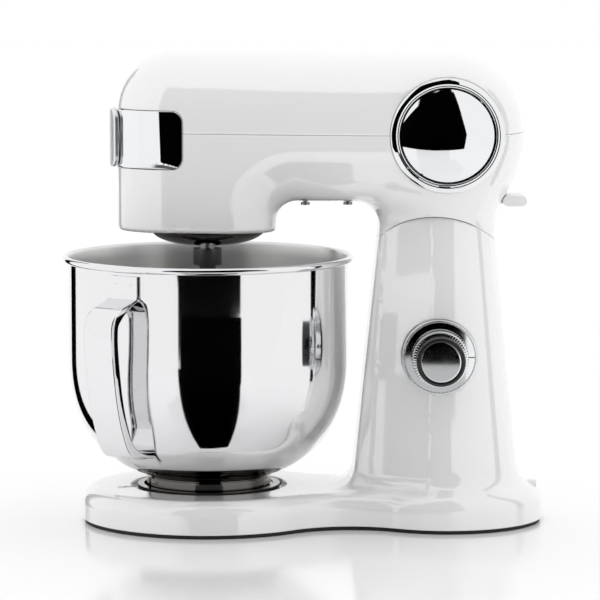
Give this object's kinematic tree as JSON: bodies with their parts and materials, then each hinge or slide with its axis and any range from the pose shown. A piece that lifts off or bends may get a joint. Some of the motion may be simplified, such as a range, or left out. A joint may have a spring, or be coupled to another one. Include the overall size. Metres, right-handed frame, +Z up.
{
  "type": "stand mixer",
  "caption": "Tilt-head planetary stand mixer with a steel bowl, flat beater, speed dial, chrome nose band and front accessory port.",
  "frame": {"origin": "on the worktop, under the axis of the bowl and of the planetary drive", "axes": "+Z up, +X from the bowl towards the column, -X towards the nose, -Y the side with the speed dial"},
  "size_m": [0.3672, 0.2349, 0.36],
  "materials": {
    "body_paint": "gloss pearl white",
    "white_plastic": "gloss",
    "chrome": "mirror",
    "dark_chrome": "smoked mirror",
    "knob_black": "gloss",
    "bowl_steel": "polished",
    "beater_metal": "dark satin coating",
    "drive_steel": "ground",
    "cast_zinc": "as cast",
    "grey_plastic": "fine texture",
    "rubber_black": "matte",
    "bronze": "sintered",
    "copper": "lacquered windings",
    "board_green": "satin"
  },
  "bodies": {
    "stand": {"base_shell": "body_paint", "base_cover": "grey_plastic", "foot_gasket": "rubber_black", "bowl_seat": "dark_chrome", "lock_marker": "body_paint", "base_screws": "drive_steel", "cord_gland": "white_plastic", "column_shell": "body_paint", "column_cap": "grey_plastic", "hinge_pedestal": "cast_zinc", "hinge_pin": "drive_steel", "latch_strike": "drive_steel", "dial_surround": "chrome", "speed_switch": "grey_plastic", "control_board": "board_green"},
    "head": {"head_top_shell": "body_paint", "head_lower_shell": "body_paint", "nose_band": "chrome", "disc_ring_left": "chrome", "disc_ring_right": "chrome", "disc_plate_left": "chrome", "disc_plate_right": "chrome", "head_screws": "drive_steel", "gear_case": "cast_zinc", "bearing_bridge": "cast_zinc", "ring_gear": "drive_steel", "shaft_bearings": "drive_steel", "port_hub": "cast_zinc", "hinge_arm": "cast_zinc", "hinge_bushes": "bronze", "motor_can": "drive_steel", "drive_belt": "rubber_black", "lever_pin": "drive_steel", "lever_spring": "drive_steel"},
    "cover": {"port_cover": "chrome"},
    "lever": {"release_lever": "white_plastic", "latch_hook": "drive_steel"},
    "dial": {"dial_spindle": "drive_steel", "dial_knob": "knob_black", "dial_grip": "chrome", "dial_face": "chrome"},
    "motor": {"motor_rotor": "copper", "cooling_fan": "grey_plastic", "motor_pulley": "drive_steel"},
    "layshaft_set": {"layshaft": "drive_steel", "layshaft_pulley": "grey_plastic"},
    "port_drive": {"port_spindle": "drive_steel", "port_pinion": "drive_steel"},
    "planet": {"planet_carrier": "cast_zinc", "drip_dome": "dark_chrome", "main_shaft": "drive_steel", "main_gear": "drive_steel"},
    "beater": {"beater_shaft": "drive_steel", "planet_pinion": "drive_steel", "flat_beater": "beater_metal"},
    "bowl": {"bowl_shell": "bowl_steel", "bowl_foot": "dark_chrome", "bowl_handle": "bowl_steel"}
  },
  "joints": [
    {"name": "head_tilt", "type": "hinge", "parent": "stand", "child": "head", "pos_m": [0.172, 0, 0.174], "axis": [0, 1, 0], "range_deg": [0, 45]},
    {"name": "cover_slide", "type": "slide", "parent": "head", "child": "cover", "axis": [-1, 0, 0], "range_m": [0, 0.06]},
    {"name": "lever_press", "type": "hinge", "parent": "head", "child": "lever", "pos_m": [0.209, 0, 0.246], "axis": [0, 1, 0], "range_deg": [0, 10], "stiffness_Nm_per_rad": 0.3, "springref_deg": -8.59},
    {"name": "dial_turn", "type": "hinge", "parent": "stand", "child": "dial", "pos_m": [0.175, -0.07, 0.1318], "axis": [0, 1, 0], "range_deg": [0, 300]},
    {"name": "main_spin", "type": "hinge", "parent": "head", "child": "planet", "pos_m": [0, 0, 0.224], "axis": [0, 0, 1], "continuous": true},
    {"name": "beater_spin", "type": "hinge", "parent": "planet", "child": "beater", "pos_m": [0, -0.025, 0.224], "axis": [0, 0, 1], "continuous": true},
    {"name": "layshaft_spin", "type": "hinge", "parent": "head", "child": "layshaft_set", "pos_m": [0.04375, 0, 0.262], "axis": [0, 0, 1], "continuous": true},
    {"name": "motor_spin", "type": "hinge", "parent": "head", "child": "motor", "pos_m": [0.165, 0, 0.262], "axis": [0, 0, 1], "continuous": true},
    {"name": "port_spin", "type": "hinge", "parent": "head", "child": "port_drive", "pos_m": [-0.024, 0, 0.294], "axis": [1, 0, 0], "continuous": true},
    {"name": "bowl_turn", "type": "hinge", "parent": "stand", "child": "bowl", "pos_m": [0, 0, 0.021], "axis": [0, 0, 1], "range_deg": [0, 40]}
  ],
  "couplings": [
    {"joint": "beater_spin", "follows": "main_spin", "ratio": -3},
    {"joint": "layshaft_spin", "follows": "main_spin", "ratio": -4},
    {"joint": "motor_spin", "follows": "main_spin", "ratio": -12},
    {"joint": "port_spin", "follows": "main_spin", "ratio": -1.3333}
  ]
}
